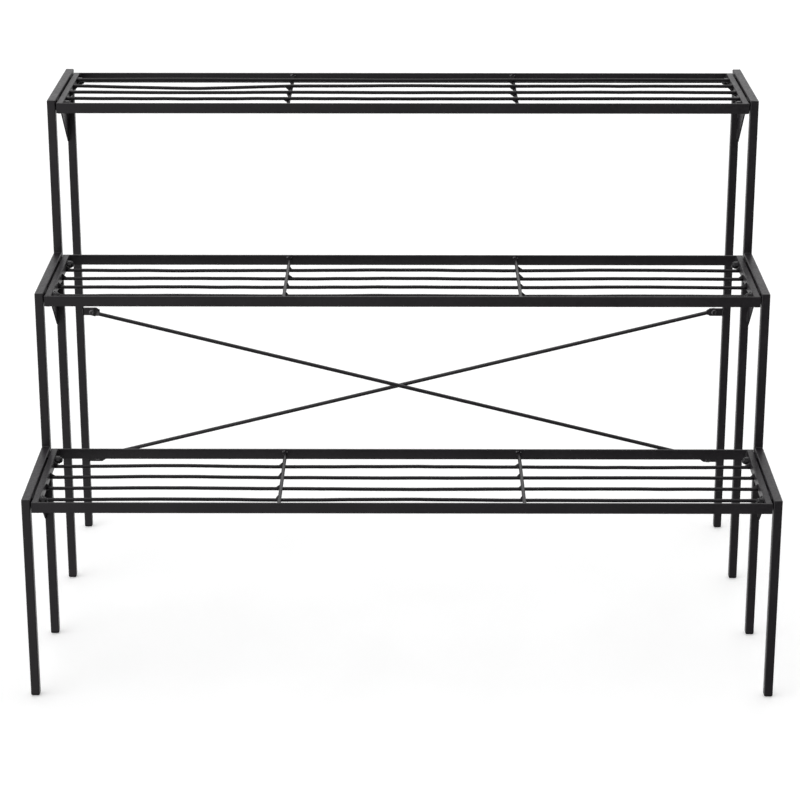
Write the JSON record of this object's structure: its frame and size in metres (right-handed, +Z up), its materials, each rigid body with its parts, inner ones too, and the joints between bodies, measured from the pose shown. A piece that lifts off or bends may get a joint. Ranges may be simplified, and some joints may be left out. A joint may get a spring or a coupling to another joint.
{
  "type": "flower display rack",
  "caption": "Stepped bolt-together steel rack: square-tube side frames, wire shelves on flat bars and a crossed rear brace, for displaying potted and cut flowers.",
  "frame": {"origin": "middle of the footprint, on the floor", "axes": "+X to the right seen from the front, +Y to the back where the tiers rise, +Z up"},
  "size_m": [1.03, 0.6, 0.754],
  "materials": {
    "coated_steel": "satin black powder coat",
    "coated_rod": "satin black powder coat on drawn rod",
    "foot_plastic": "moulded black polyethylene",
    "black_fastener": "black zinc plate"
  },
  "bodies": {
    "root": {"brace_bolts": "black_fastener", "brace_nuts": "black_fastener", "brace_rod_front": "coated_rod", "brace_rod_rear": "coated_rod", "left_front_foot": "foot_plastic", "left_front_leg": "coated_steel", "left_lower_gusset": "coated_steel", "left_lower_rail": "coated_steel", "left_middle_gusset": "coated_steel", "left_middle_rail": "coated_steel", "left_rear_foot": "foot_plastic", "left_rear_leg": "coated_steel", "left_second_foot": "foot_plastic", "left_second_leg": "coated_steel", "left_third_foot": "foot_plastic", "left_third_leg": "coated_steel", "left_upper_gusset": "coated_steel", "left_upper_rail": "coated_steel", "lower_left_brace_tab": "coated_steel", "lower_right_brace_tab": "coated_steel", "lower_shelf_cross_rods": "coated_rod", "lower_shelf_front_bar": "coated_steel", "lower_shelf_left_end_rail": "coated_steel", "lower_shelf_rear_bar": "coated_steel", "lower_shelf_right_end_rail": "coated_steel", "lower_shelf_wires": "coated_rod", "middle_shelf_cross_rods": "coated_rod", "middle_shelf_front_bar": "coated_steel", "middle_shelf_left_end_rail": "coated_steel", "middle_shelf_rear_bar": "coated_steel", "middle_shelf_right_end_rail": "coated_steel", "middle_shelf_wires": "coated_rod", "right_front_foot": "foot_plastic", "right_front_leg": "coated_steel", "right_lower_gusset": "coated_steel", "right_lower_rail": "coated_steel", "right_middle_gusset": "coated_steel", "right_middle_rail": "coated_steel", "right_rear_foot": "foot_plastic", "right_rear_leg": "coated_steel", "right_second_foot": "foot_plastic", "right_second_leg": "coated_steel", "right_third_foot": "foot_plastic", "right_third_leg": "coated_steel", "right_upper_gusset": "coated_steel", "right_upper_rail": "coated_steel", "shelf_cap_nuts": "black_fastener", "shelf_stud_plates": "coated_steel", "shelf_studs": "black_fastener", "shelf_washers": "black_fastener", "upper_left_brace_tab": "coated_steel", "upper_right_brace_tab": "coated_steel", "upper_shelf_cross_rods": "coated_rod", "upper_shelf_front_bar": "coated_steel", "upper_shelf_left_end_rail": "coated_steel", "upper_shelf_rear_bar": "coated_steel", "upper_shelf_right_end_rail": "coated_steel", "upper_shelf_wires": "coated_rod"}
  },
  "joints": []
}
